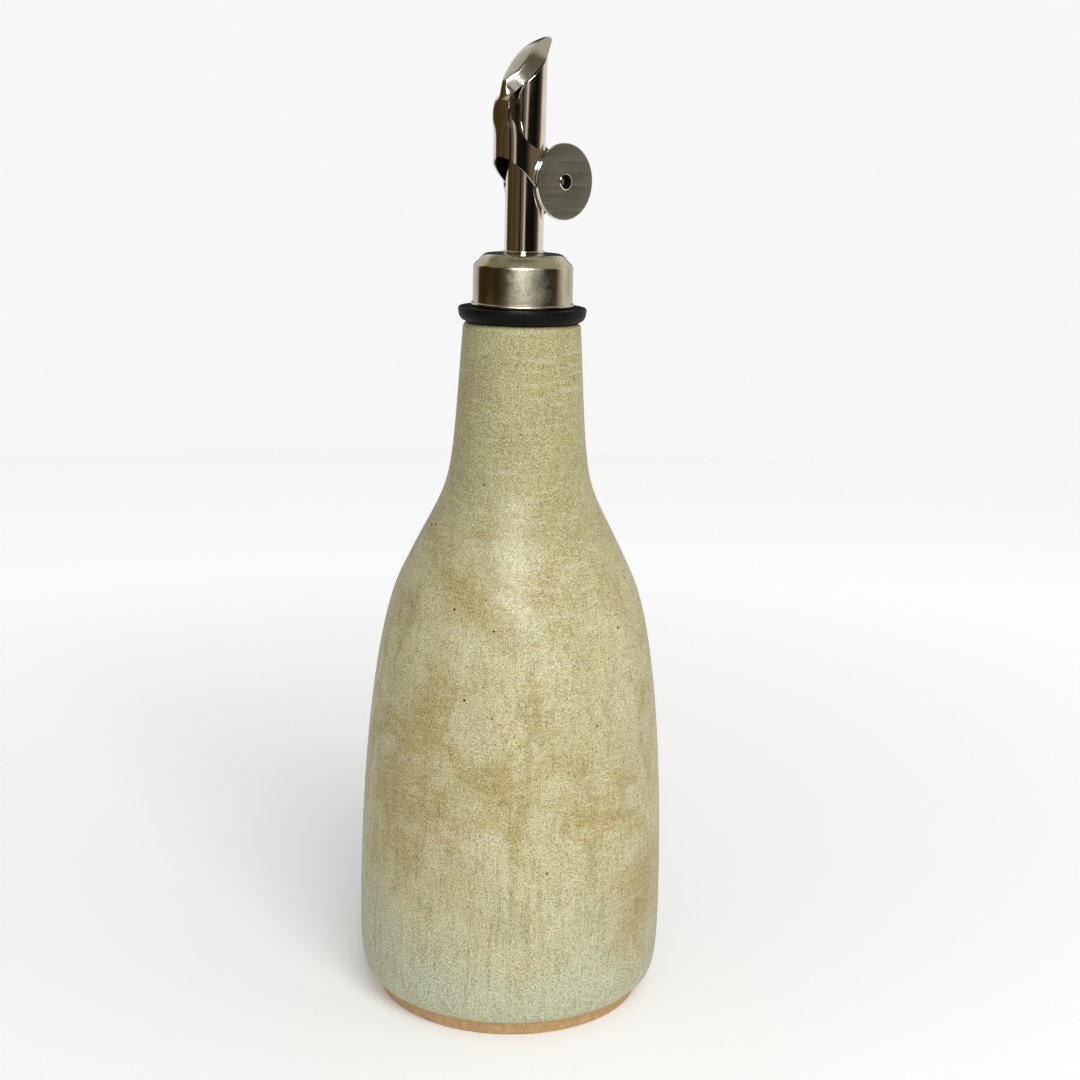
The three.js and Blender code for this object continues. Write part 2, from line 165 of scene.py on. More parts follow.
def revolve(name, outline, closed, segments=128, warp=None, sharp=35):
    """Turns (r, z) points about +Z. A closed outline is a ring, an open one ends on the axis."""
    vertices, faces = [], []
    rows = []
    for r, z in outline:
        if r < 1e-6:
            rows.append([len(vertices)] * segments)
            vertices.append((0, 0, z))
            continue
        rows.append(list(range(len(vertices), len(vertices) + segments)))
        for s in range(segments):
            a = 2 * math.pi * s / segments
            vertices.append((r * math.cos(a), r * math.sin(a), z))
    pairs = list(zip(rows, rows[1:]))
    if closed:
        pairs.append((rows[-1], rows[0]))
    for low, high in pairs:
        for s in range(segments):
            t = (s + 1) % segments
            face = []
            for v in (low[s], low[t], high[t], high[s]):
                if v not in face:
                    face.append(v)
            faces.append(face)
    if warp:
        vertices = [warp(*v) for v in vertices]
    return make_object(name, vertices, faces, sharp)


def lay_along_y(piece, x, z):
    """Turns a piece made about +Z so that it lies along Y through (x, z)."""
    turn = Matrix.Rotation(math.pi / 2, 4, "X")
    piece.data.transform(Matrix.Translation(Vector((x, 0, z)) * MM) @ turn)


def join(name, pieces):
    with bpy.context.temp_override(active_object=pieces[0], selected_editable_objects=pieces):
        bpy.ops.object.join()
    pieces[0].name = name
    pieces[0].data.name = name
    return pieces[0]


def bevel(piece, width, segments=2, angle=40):
    modifier = piece.modifiers.new("edge", "BEVEL")
    modifier.width = width * MM
    modifier.segments = segments
    modifier.limit_method = "ANGLE"
    modifier.angle_limit = math.radians(angle)
    modifier.harden_normals = True


# --- material tools -------------------------------------------------------------------

class Nodes:
    """A material's node tree, with short calls for what the materials below use."""

    def __init__(self, name):
        self.material = bpy.data.materials.new(name)
        self.material.use_nodes = True
        self.tree = self.material.node_tree
        self.shader = self.tree.nodes["Principled BSDF"]
        self.coords = self.tree.nodes.new("ShaderNodeTexCoord").outputs["Object"]

    def node(self, kind, **settings):
        made = self.tree.nodes.new(kind)
        for key, value in settings.items():
            setattr(made, key, value)
        return made

    def link(self, source, target):
        self.tree.links.new(source, target)

    def put(self, socket, value):
        if isinstance(value, (int, float, tuple)):
            socket.default_value = value
        else:
            self.link(value, socket)

    def noise(self, scale, detail=4, rough=0.55, stretch=None, distortion=0):
        texture = self.node("ShaderNodeTexNoise")
        texture.inputs["Scale"].default_value = scale
        texture.inputs["Detail"].default_value = detail
        texture.inputs["Roughness"].default_value = rough
        texture.inputs["Distortion"].default_value = distortion
        self.link(self.stretched(stretch) if stretch else self.coords, texture.inputs["Vector"])
        return texture.outputs["Fac"]

    def stretched(self, factors):
        mapping = self.node("ShaderNodeMapping")
        mapping.inputs["Scale"].default_value = factors
        self.link(self.coords, mapping.inputs["Vector"])
        return mapping.outputs["Vector"]

    def ramp(self, value, low, high):
        """0 below low and 1 above high, with a smooth step between them."""
        made = self.node("ShaderNodeMapRange", interpolation_type="SMOOTHSTEP")
        self.put(made.inputs["Value"], value)
        made.inputs["From Min"].default_value = low
        made.inputs["From Max"].default_value = high
        return made.outputs["Result"]

    def span(self, value, low, high, to_low, to_high):
        """to_low at low and to_high at high, straight between them."""
        made = self.node("ShaderNodeMapRange")
        self.put(made.inputs["Value"], value)
        made.inputs["From Min"].default_value = low
        made.inputs["From Max"].default_value = high
        made.inputs["To Min"].default_value = to_low
        made.inputs["To Max"].default_value = to_high
        return made.outputs["Result"]

    def math(self, operation, a, b=0.0):
        made = self.node("ShaderNodeMath", operation=operation)
        self.put(made.inputs[0], a)
        self.put(made.inputs[1], b)
        return made.outputs[0]

    def mix(self, factor, a, b):
        made = self.node("ShaderNodeMix", data_type="RGBA")
        self.put(made.inputs["Factor"], factor)
        self.put(made.inputs[6], a)
        self.put(made.inputs[7], b)
        return made.outputs[2]

    def layer(self, under, mask, strength, tint):
        """A tint laid over a colour where mask is 1, no stronger than strength."""
        return self.mix(self.math("MULTIPLY", mask, strength), under, tint)

    def axis(self, name):
        made = self.node("ShaderNodeSeparateXYZ")
        self.link(self.coords, made.inputs[0])
        return made.outputs[name]

    def bump(self, height, strength, distance_mm, under=None):
        made = self.node("ShaderNodeBump")
        made.inputs["Strength"].default_value = strength
        made.inputs["Distance"].default_value = distance_mm * MM
        self.link(height, made.inputs["Height"])
        if under:
            self.link(under, made.inputs["Normal"])
        return made.outputs["Normal"]

    def set(self, **values):
        for key, value in values.items():
            self.put(self.shader.inputs[key.replace("_", " ")], value)


def colour(red, green, blue):
    """An sRGB colour, 0 to 255, as linear light."""
    def linear(v):
        v /= 255
        return v / 12.92 if v <= 0.04045 else ((v + 0.055) / 1.055) ** 2.4
    return linear(red), linear(green), linear(blue), 1.0


# --- materials ------------------------------------------------------------------------

def stoneware():
    """Satin sage glaze with brushed clouds, rust spots and specks, over a bare clay foot."""
    n = Nodes("stoneware")
    z = n.axis("Z")
    mottle = n.noise(70, 6, 0.62, distortion=0.4)
    grain = n.noise(3600, 2, 0.7)
    crumb = n.noise(900, 5, 0.75)
    hair = n.noise(760, 4, 0.7, stretch=(1, 1, 0.1))
    wheel = n.noise(900, 4, 0.7, stretch=(0.12, 0.12, 1))
    brush = n.noise(110, 5, 0.6, stretch=(1, 1, 0.22))
    sweep = n.noise(260, 3, 0.6, stretch=(0.35, 0.35, 1.3))

    base = n.mix(n.ramp(mottle, 0.34, 0.66), colour(190, 180, 134), colour(210, 204, 162))
    base = n.layer(base, n.ramp(brush, 0.5, 0.7), 0.4, colour(217, 210, 172))
    cloud = n.ramp(n.noise(26, 6, 0.66, distortion=0.8), 0.47, 0.62)
    base = n.layer(base, cloud, 0.85, colour(172, 148, 84))
    streak = n.ramp(n.noise(110, 5, 0.65, stretch=(1, 1, 0.22)), 0.54, 0.68)
    base = n.layer(base, streak, 0.75, colour(164, 146, 86))
    rust = n.ramp(n.noise(68, 4, 0.55, distortion=0.5), 0.62, 0.74)
    base = n.layer(base, rust, 0.6, colour(186, 138, 82))
    blush = n.ramp(n.noise(46, 4, 0.6), 0.57, 0.72)
    base = n.layer(base, blush, 0.3, colour(206, 186, 158))
    # Painted shade: the upper shoulder and neck are tinted darker for the shade that falls there.
    neck = n.ramp(z, 0.11, 0.15)
    base = n.layer(base, neck, 0.8, colour(166, 160, 112))
    edge = n.math("ADD", z, n.span(n.noise(30, 4, 0.6), 0.3, 0.7, -0.016, 0.016))
    low = n.math("SUBTRACT", 1.0, n.ramp(edge, 0.008, 0.044))
    base = n.layer(base, low, 0.85, colour(196, 203, 176))
    base = n.layer(base, n.ramp(hair, 0.5, 0.66), 0.42, colour(142, 130, 84))
    base = n.layer(base, n.ramp(wheel, 0.52, 0.66), 0.3, colour(226, 222, 190))
    base = n.layer(base, n.ramp(crumb, 0.5, 0.66), 0.22, colour(140, 128, 84))
    base = n.layer(base, n.ramp(grain, 0.5, 0.64), 0.9, colour(102, 92, 54))
    pale_grain = n.math("SUBTRACT", 1.0, n.ramp(grain, 0.36, 0.5))
    base = n.layer(base, pale_grain, 0.5, colour(230, 226, 190))

    speck_map = n.node("ShaderNodeTexVoronoi")
    speck_map.inputs["Scale"].default_value = 330
    n.link(n.coords, speck_map.inputs["Vector"])
    spot = n.math("SUBTRACT", 1.0, n.ramp(speck_map.outputs["Distance"], 0.09, 0.16))
    threshold = n.span(z, 0.1, 0.16, 0.62, 0.56)
    crowd = n.math("SUBTRACT", n.noise(150, 2, 0.5), threshold)
    specks = n.math("MULTIPLY", spot, n.ramp(crowd, 0, 0.05))
    base = n.layer(base, specks, 0.95, colour(54, 42, 24))

    wander = n.span(n.noise(70, 3, 0.5), 0.3, 0.7, -0.0004, 0.0004)
    clay = n.math("SUBTRACT", 1.0, n.ramp(n.math("ADD", z, wander), 0.0038, 0.0042))
    clay_grit = n.ramp(n.noise(600, 5, 0.7), 0.35, 0.7)
    clay_colour = n.mix(clay_grit, colour(186, 150, 104), colour(206, 172, 124))
    n.set(Base_Color=n.mix(clay, base, clay_colour))
    clay_rough = n.node("ShaderNodeMix", data_type="FLOAT")
    n.put(clay_rough.inputs["Factor"], clay)
    n.put(clay_rough.inputs[2], n.span(crumb, 0.3, 0.7, 0.4, 0.58))
    clay_rough.inputs[3].default_value = 0.9
    n.set(Roughness=clay_rough.outputs[0])
    throwing = n.bump(n.noise(25, 2, 0.4, stretch=(0.3, 0.3, 6)), 0.5, 0.3)
    skin = n.bump(mottle, 0.4, 0.2, throwing)
    swept = n.bump(sweep, 0.35, 0.06, skin)
    n.link(n.bump(grain, 0.4, 0.05, swept), n.shader.inputs["Normal"])
    n.shader.inputs["Specular IOR Level"].default_value = 0.16
    n.shader.inputs["Coat Weight"].default_value = 0.12
    n.shader.inputs["Coat Roughness"].default_value = 0.36
    return n.material


def polished_steel():
    """Bright polished stainless with faint smudges and hair scratches."""
    n = Nodes("polished_steel")
    smudge = n.noise(160, 4, 0.6)
    scratch = n.noise(900, 2, 0.6, stretch=(1, 1, 0.04))
    n.set(Base_Color=n.mix(n.ramp(smudge, 0.3, 0.75), colour(214, 209, 199), colour(200, 194, 182)))
    n.shader.inputs["Metallic"].default_value = 1
    n.set(Roughness=n.span(smudge, 0.3, 0.75, 0.07, 0.15))
    n.link(n.bump(scratch, 0.06, 0.02), n.shader.inputs["Normal"])
    return n.material


def worn_steel():
    """The collar: yellowed and smudged, scuffed dull over one part of its side."""
    n = Nodes("worn_steel")
    smudge = n.noise(220, 5, 0.65)
    tarnish = n.noise(120, 4, 0.6, stretch=(1, 1, 0.5))
    scuff = n.noise(1400, 3, 0.7)
    along_x = n.math("MULTIPLY", n.axis("X"), SCUFF_X)
    facing = n.math("ADD", along_x, n.math("MULTIPLY", n.axis("Y"), SCUFF_Y))
    place = n.math("ADD", facing, n.span(smudge, 0.3, 0.7, -0.0003, 0.0003))
    patch = n.ramp(place, 0.0106, 0.0131)
    shine = n.mix(n.ramp(tarnish, 0.35, 0.65), colour(184, 177, 154), colour(150, 142, 118))
    dull = n.mix(n.ramp(scuff, 0.35, 0.65), colour(184, 179, 160), colour(152, 147, 128))
    n.set(Base_Color=n.mix(patch, shine, dull))
    n.shader.inputs["Metallic"].default_value = 1
    gloss = n.span(smudge, 0.3, 0.7, 0.1, 0.2)
    n.set(Roughness=n.math("ADD", gloss, n.math("MULTIPLY", patch, 0.26)))
    n.link(n.bump(scuff, 0.1, 0.02), n.shader.inputs["Normal"])
    return n.material


def brushed_steel():
    """The discs: grey steel brushed in one direction, along X."""
    n = Nodes("brushed_steel")
    lines = n.noise(1500, 4, 0.65, stretch=(0.03, 1, 1))
    broad = n.noise(300, 3, 0.5, stretch=(0.1, 1, 1))
    shade = n.mix(n.ramp(lines, 0.3, 0.7), colour(118, 117, 101), colour(137, 135, 118))
    n.set(Base_Color=n.layer(shade, n.ramp(broad, 0.4, 0.7), 0.4, colour(126, 125, 110)))
    n.shader.inputs["Metallic"].default_value = 1
    n.set(Roughness=n.span(lines, 0.3, 0.7, 0.36, 0.46))
    n.link(n.bump(lines, 0.12, 0.012), n.shader.inputs["Normal"])
    return n.material


def painted_bore_shadow():
    """Painted shadow: near-black colour for the shade inside the rivet's bore."""
    n = Nodes("painted_bore_shadow")
    shade_mottle = n.noise(700, 4, 0.6)
    n.set(Base_Color=n.mix(shade_mottle, colour(7, 6, 5), colour(14, 12, 10)))
    n.shader.inputs["Specular IOR Level"].default_value = 0.05
    n.shader.inputs["Roughness"].default_value = 0.9
    return n.material


def painted_inner_shade():
    """Painted shade: darkened metal on the stamped sheet's inner face, for the shade between the sheet
    and the tube.
    """
    n = Nodes("painted_inner_shade")
    shade_mottle = n.noise(300, 4, 0.6)
    n.set(Base_Color=n.mix(shade_mottle, colour(70, 58, 44), colour(110, 98, 78)))
    n.shader.inputs["Metallic"].default_value = 1
    n.shader.inputs["Roughness"].default_value = 0.3
    return n.material


def rubber():
    """Black rubber with a little dust."""
    n = Nodes("black_rubber")
    grain = n.noise(1200, 3, 0.6)
    dust = n.ramp(n.noise(500, 4, 0.7), 0.62, 0.75)
    n.set(Base_Color=n.layer(colour(7, 7, 7), dust, 0.2, colour(46, 44, 40)))
    n.set(Roughness=n.span(grain, 0.3, 0.7, 0.45, 0.6))
    n.shader.inputs["Specular IOR Level"].default_value = 0.1
    n.link(n.bump(grain, 0.2, 0.03), n.shader.inputs["Normal"])
    return n.material


# --- pieces ---------------------------------------------------------------------------

def bottle_piece():
    waist_in = WAIST_R - WALL
    body_in = BODY_R - WALL
    outline = [(0, FOOT_RECESS), (FOOT_INNER_R - 3, FOOT_RECESS)]
    outline += bezier(outline[-1], (FOOT_INNER_R - 1, FOOT_RECESS),
                      (FOOT_INNER_R - 0.6, 1), (FOOT_INNER_R + 0.4, 0), 8)
    outline += bezier((FOOT_R - 0.8, 0), (FOOT_R - 0.2, 0),
                      (FOOT_R + 0.1, 0.3), (FOOT_R + 0.4, 0.9), 6)
    outline += [(FOOT_R + 0.9, 3.6)]
    outline += bezier((FOOT_R + 0.9, 3.6), (FOOT_R + 1.0, 3.9),
                      (FOOT_R + 1.2, 3.95), (FOOT_R + 1.4, GLAZE_Z), 4)
    outline += bezier(outline[-1], (FOOT_R + 4.4, 5.3), (BODY_R, 7.6), (BODY_R, STRAIGHT_Z), 24)
    outline += bezier((BODY_R, STRAIGHT_Z), (BODY_R, 60.5),
                      (WAIST_R + WAIST_LEAN * 15.1, WAIST_Z - 15.1), (WAIST_R, WAIST_Z), 60)
    outline += bezier((WAIST_R, WAIST_Z), (WAIST_R - WAIST_LEAN * 29.7, WAIST_Z + 29.7),
                      (NECK_R + 3.1, RIM_Z - 51.5), (NECK_R, RIM_Z - RIM_ROUND), 60)
    outline += arc(NECK_R - RIM_ROUND, RIM_Z - RIM_ROUND, RIM_ROUND, 6, 90)
    outline += arc(BORE_R + RIM_ROUND, RIM_Z - RIM_ROUND, RIM_ROUND, 90, 180)
    outline += [(BORE_R, BORE_LOW_Z)]
    outline += bezier((BORE_R, BORE_LOW_Z), (BORE_R, BORE_LOW_Z - 16),
                      (waist_in - 7, WAIST_Z + 12), (waist_in - 0.8, WAIST_Z - 3), 24)
    outline += bezier(outline[-1], (body_in - 1, 98), (body_in, 62), (body_in, STRAIGHT_Z), 24)
    outline += bezier((body_in, STRAIGHT_Z), (body_in, FLOOR_Z + 5),
                      (body_in - 4, FLOOR_Z), (body_in - 10, FLOOR_Z), 12)
    outline += [(0, FLOOR_Z)]
    piece = revolve("bottle_shell", outline, closed=False, segments=192, sharp=60)
    finish_piece(piece, "bottle", "glaze", stoneware(), "bottle")


def finish_piece(piece, body, slot, material, *nodes):
    piece.data.materials.clear()
    piece.data.materials.append(material)
    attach(piece, body)
    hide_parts(*nodes)


def rubber_piece(material):
    low = RIM_Z + SEAM
    outline = [(TUBE_HOLE_R, PLUG_BOTTOM), (8.5, PLUG_BOTTOM)]
    for i in range(PLUG_RIBS):
        z = PLUG_BOTTOM + 0.8 + i * RIB_PITCH
        outline += bezier((9.2, z), (9.6, z + 1.2), (10.2, z + 2), (10.35, z + 2.8), 6)
        outline += bezier(outline[-1], (10.4, z + 3.4), (10.1, z + 3.75), (9.2, z + 3.8), 5)
    outline += [(9.5, low)]
    outline += [(FLANGE_R - 1.9, low)]
    outline += bezier(outline[-1], (FLANGE_R - 0.9, low + 0.1),
                      (FLANGE_R - 0.4, low + 0.9), (FLANGE_R - 0.15, low + 1.8), 8)
    outline += [(FLANGE_R, FLANGE_TOP - 0.7)]
    outline += bezier(outline[-1], (FLANGE_R, FLANGE_TOP - 0.25),
                      (FLANGE_R - 0.25, FLANGE_TOP), (FLANGE_R - 0.7, FLANGE_TOP), 5)
    outline += [(BOSS_R, FLANGE_TOP), (BOSS_R, BOSS_TOP - 1), (BOSS_R - 1, BOSS_TOP)]
    outline += [(TUBE_HOLE_R, BOSS_TOP)]
    piece = revolve("stopper", outline, closed=True, segments=128, sharp=40)
    finish_piece(piece, "pourer", "rubber", material, "rubber_stopper")


def cap_piece(material):
    low, top = FLANGE_TOP + SEAM, CAP_TOP
    wall = CAP_R - CAP_INNER_R
    outline = [(CAP_INNER_R, low + 0.3)]
    outline += arc(CAP_R - 0.1, low + CAP_BEAD, CAP_BEAD, -120, 75, 14)
    outline += bezier(outline[-1], (CAP_R + 0.05, low + 1.1), (CAP_R, low + 1.2), (CAP_R, low + 1.6), 4)
    outline += bezier((CAP_R, top - 3.7), (CAP_R, top - 3.2),
                      (CAP_R - 0.3, top - 2.9), (CAP_R - 0.8, top - 2.4), 10)
    outline += bezier((CAP_R - 1.4, top - 1.8), (CAP_R - 2.0, top - 1.1),
                      (CAP_R - 2.6, top), (CAP_R - 4.1, top), 18)
    outline += [(TUBE_HOLE_R + 0.2, top), (TUBE_HOLE_R, top - 0.2), (TUBE_HOLE_R, top - wall)]
    outline += [(8.8, top - wall)]
    outline += bezier((8.8, top - wall), (10.2, top - wall),
                      (CAP_INNER_R, top - 3.2), (CAP_INNER_R, top - 4), 12)
    piece = revolve("collar", outline, closed=True, segments=160, sharp=50)
    finish_piece(piece, "pourer", "polished_steel", material, "collar_cap")


def ring_piece(material):
    low = CAP_TOP + SEAM
    outline = [(TUBE_R + 0.1, low), (TUBE_R + 0.3, low)]
    outline += arc(TUBE_R + 0.15, low + 0.3, 0.3, -60, 110, 12)
    outline += [(TUBE_R + 0.05, low + 0.6)]
    piece = revolve("tube_bead", outline, closed=True, segments=96, sharp=50)
    finish_piece(piece, "pourer", "polished_steel", material, "tube_base_ring")


def tube_piece(material):
    inner = TUBE_R - TUBE_WALL
    bottom = TUBE_BOTTOM
    cut_from = MOUTH_Z - 20

    def slant(x, y, z):
        """Leans the tube's upper end over, so that its level mouth becomes the cut one."""
        share = min(1, max(0, (z - cut_from) / (MOUTH_Z - cut_from)))
        return x, y, z + x * share

    outline = [(inner + 0.7, bottom), (TUBE_R + 0.7, bottom)]
    outline += bezier(outline[-1], (TUBE_R + 0.3, bottom + 0.5),
                      (TUBE_R, bottom + 0.9), (TUBE_R, bottom + 1.6), 6)
    outline += [(TUBE_R, bottom + 20 * i) for i in range(1, 4)]
    outline += [(TUBE_R, cut_from)]
    outline += arc(TUBE_R - 0.25, MOUTH_Z - 0.25, 0.25, 0, 180, 8)
    outline += [(inner, cut_from), (inner, bottom + 1.8)]
    piece = revolve("spout_tube", outline, closed=True, segments=160, warp=slant, sharp=50)
    finish_piece(piece, "pourer", "polished_steel", material, "pour_tube")


def vent_piece(material):
    low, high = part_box("air_vent_tube")
    bottom, top = low[2] / MM, high[2] / MM
    section = [(VENT_BORE_R, bottom), (VENT_R, bottom), (VENT_R, top), (VENT_BORE_R, top)]
    outline = rounded(section, 0.15)
    piece = revolve("breather", outline, closed=True, segments=48)
    piece.data.transform(Matrix.Translation(((low[0] + high[0]) / 2, (low[1] + high[1]) / 2, 0)))
    finish_piece(piece, "pourer", "polished_steel", material, "air_vent_tube")


def knuckle_piece(material):
    inner, outer, end = KNUCKLE_BORE_R, KNUCKLE_R, KNUCKLE_HALF
    outline = rounded([(inner, -end), (outer, -end), (outer, end), (inner, end)], 0.12)
    barrel = revolve("barrel", outline, closed=True, segments=48)
    lay_along_y(barrel, HINGE_X, HINGE_Z)
    x0, x1 = HINGE_X + 0.85, -4.75
    y, z = 1.7, 0.8
    corners = [(x, sy, HINGE_Z + sz) for x in (x0, x1) for sy in (-y, y) for sz in (-z, z)]
    faces = [(0, 1, 3, 2), (4, 6, 7, 5), (0, 4, 5, 1), (2, 3, 7, 6), (0, 2, 6, 4), (1, 5, 7, 3)]
    lug = make_object("lug", corners, faces)
    bevel(lug, 0.15, 3)
    piece = join("knuckle", [barrel, lug])
    finish_piece(piece, "pourer", "polished_steel", material, "hinge_knuckle")


def pin_piece(material):
    section = [(0, -PIN_HALF), (PIN_R, -PIN_HALF), (PIN_R, PIN_HALF), (0, PIN_HALF)]
    outline = rounded(section, [0, 0.15, 0.15, 0], closed=False)
    piece = revolve("pivot_pin", outline, closed=False, segments=48)
    lay_along_y(piece, HINGE_X, HINGE_Z)
    finish_piece(piece, "flap", "polished_steel", material, "hinge_pin")


def disc_piece(name, side, face, edge):
    hole, inside, outside = RIVET_HOLE_R, 5.6, 6.55
    rim_round = 0.22
    section = [(hole, inside), (DISC_R, inside), (DISC_R, outside), (hole, outside)]
    outline = rounded(section, [0.05, rim_round, rim_round, 0.05], 5)
    piece = revolve(name, outline, closed=True, segments=160, sharp=60)
    turn = Matrix.Rotation(math.pi / 2 if side < 0 else -math.pi / 2, 4, "X")
    piece.data.transform(Matrix.Translation(Vector((DISC_X, 0, DISC_Z)) * MM) @ turn)
    node = "disc_weight_near" if side < 0 else "disc_weight_far"
    finish_piece(piece, "flap", "brushed_steel", face, node)
    piece.data.materials.append(edge)
    for polygon in piece.data.polygons:
        centre = polygon.center
        radius = math.hypot(centre.x / MM - DISC_X, centre.z / MM - DISC_Z)
        if radius > DISC_R - rim_round + 0.01:
            polygon.material_index = 1


def rivet_piece(material, dark):
    end, face = 6.85, 6.6
    bore, shank, lip = 1.5, 1.75, 2.15
    half = [(bore, -end + 0.6), (bore, -end + 0.25)]
    half += bezier(half[-1], (bore, -end), (bore + 0.3, -end - 0.02), (bore + 0.35, -end - 0.01), 5)
    half += bezier(half[-1], (lip - 0.1, -end), (lip, -face - 0.12), (lip, -face), 5)
    half += [(shank, -face)]
    outline = half + [(r, -z) for r, z in reversed(half)]
    piece = revolve("tube_rivet", outline, closed=True, segments=64, sharp=60)
    lay_along_y(piece, DISC_X, DISC_Z)
    finish_piece(piece, "flap", "polished_steel", material, "rivet")
    # Painted shadow: the faces in and round the bore take the near-black second material, for the shade
    # inside the hole.
    piece.data.materials.append(dark)
    for polygon in piece.data.polygons:
        middle = [piece.data.vertices[v].co / MM for v in polygon.vertices]
        if max(math.hypot(v.x - DISC_X, v.z - DISC_Z) for v in middle) < bore + 0.36:
            polygon.material_index = 1


def sleeve_piece(material):
    end = 5.05
    section = [(RIVET_HOLE_R, -end), (SPACER_R, -end), (SPACER_R, end), (RIVET_HOLE_R, end)]
    outline = rounded(section, 0.15)
    piece = revolve("sleeve", outline, closed=True, segments=64)
    lay_along_y(piece, DISC_X, DISC_Z)
    finish_piece(piece, "flap", "polished_steel", material, "spacer_sleeve")


# --- flap -----------------------------------------------------------------------------

# Crest x, height over the neck rim, direction down to the rim in degrees below +X, half
# width at the rim, depth, and half width of the flat crest, from the neck to the tip.
HOOD = [
    (-9.2, 55.0, 0, 2.65, 0.37, 0.3),
    (-9.05, 55.7, 2, 2.6, 0.4, 0.5),
    (-8.72, 56.5, 10, 2.45, 0.5, 0.9),
    (-8.45, 57.6, 32, 2.15, 1.15, 1.0),
    (-8.3, 59.2, 36, 2.4, 2.36, 0.8),
    (-7.95, 60.8, 44, 2.95, 3.05, 0.75),
    (-6.53, 62.3, 45, 3.8, 3.1, 1.6),
    (-4.92, 63.85, 45, 4.35, 3.1, 2.2),
    (-3.3, 65.75, 45, 4.75, 3.3, 2.4),
    (-1.7, 67.55, 45, 4.95, 3.45, 2.2),
    (-0.3, 68.75, 45, 4.75, 3.28, 2.05),
    (1.2, 69.75, 45, 4.1, 2.95, 1.9),
    (2.9, 70.7, 45, 3.15, 2.4, 1.55),
    (4.7, 71.5, 45, 2.15, 1.78, 1.05),
    (6.1, 72.0, 45, 1.35, 1.24, 0.6),
    (7.1, 72.1, 45, 0.7, 0.55, 0.25),
    (7.5, 72.0, 45, 0.25, 0.2, 0.08),
]


def flare(y, z):
    """How far the saddle's front corners are pressed out towards -X below the neck."""
    side = min(1, (y / NECK_HALF) ** 2) * (1 - (y / SADDLE_R) ** 6)
    return -FLARE * side * math.exp(-((z - FLARE_Z) / FLARE_SPREAD) ** 2)


def catmull(stations, u):
    """The stations' values on a smooth curve through them, at u from 0 to 1."""
    last = len(stations) - 1
    place = min(u * last, last - 1e-9)
    i = int(place)
    t = place - i
    a, b, c, d = (stations[min(last, max(0, i + k))] for k in (-1, 0, 1, 2))
    out = []
    for p, q, r, s in zip(a, b, c, d):
        square = 2 * p - 5 * q + 4 * r - s
        cube = 3 * q - p - 3 * r + s
        out.append(0.5 * (2 * q + (r - p) * t + square * t * t + cube * t ** 3))
    return out


def bent(share):
    """0 on the flat crest, then a soft bend into a straight skirt that reaches 1."""
    return (share + math.hypot(share, BEND)) / (1 + math.hypot(1, BEND))


def tab_half(x):
    """Half the height of a wing's round tab at x."""
    return math.sqrt(max(0, TAB_R ** 2 - (x - DISC_X) ** 2))


def wing_top(x, y):
    if abs(y) < NECK_HALF + 0.01:
        return SADDLE_TOP
    if x <= SCOOP_X:
        reach = 1 - ((x - SCOOP_X) / SCOOP_R) ** 2
        return SCOOP_Z - SCOOP_H * math.sqrt(max(0, reach))
    share = min(1, max(0, (x - SCOOP_X) / (TAB_JOIN_X - SCOOP_X)))
    return (SCOOP_Z - SCOOP_H) * (1 - share) + (DISC_Z + tab_half(x)) * share


def wing_bottom(x):
    if x > DISC_X - TAB_R + 0.02:
        return DISC_Z - tab_half(x)
    return SADDLE_BOTTOM - (x + SADDLE_R - SADDLE_X) * LOWER_SLOPE


def flap_columns():
    """(x, y) round the sheet from the near wing's end, round the front, to the far one's."""
    near = []
    tab_steps, flat_steps, round_steps, neck_steps = 28, 6, 24, 32
    for i in range(tab_steps):
        a = math.pi * (i + 0.35) / tab_steps
        near.append((DISC_X + TAB_R * math.cos(a), -SADDLE_R))
    for i in range(flat_steps):
        x = DISC_X - TAB_R + (SADDLE_X - DISC_X + TAB_R) * i / flat_steps
        near.append((x, -SADDLE_R))
    neck_angle = math.asin(NECK_HALF / SADDLE_R)
    for i in range(round_steps):
        a = neck_angle + (math.pi / 2 - neck_angle) * (1 - i / round_steps) ** 1.4
        near.append((SADDLE_X - SADDLE_R * math.cos(a), -SADDLE_R * math.sin(a)))
    middle = []
    for i in range(neck_steps + 1):
        y = NECK_HALF * (2 * i / neck_steps - 1)
        middle.append((SADDLE_X - math.sqrt(SADDLE_R ** 2 - y * y), y))
    far = [(x, -y) for x, y in reversed(near)]
    return near, middle, far


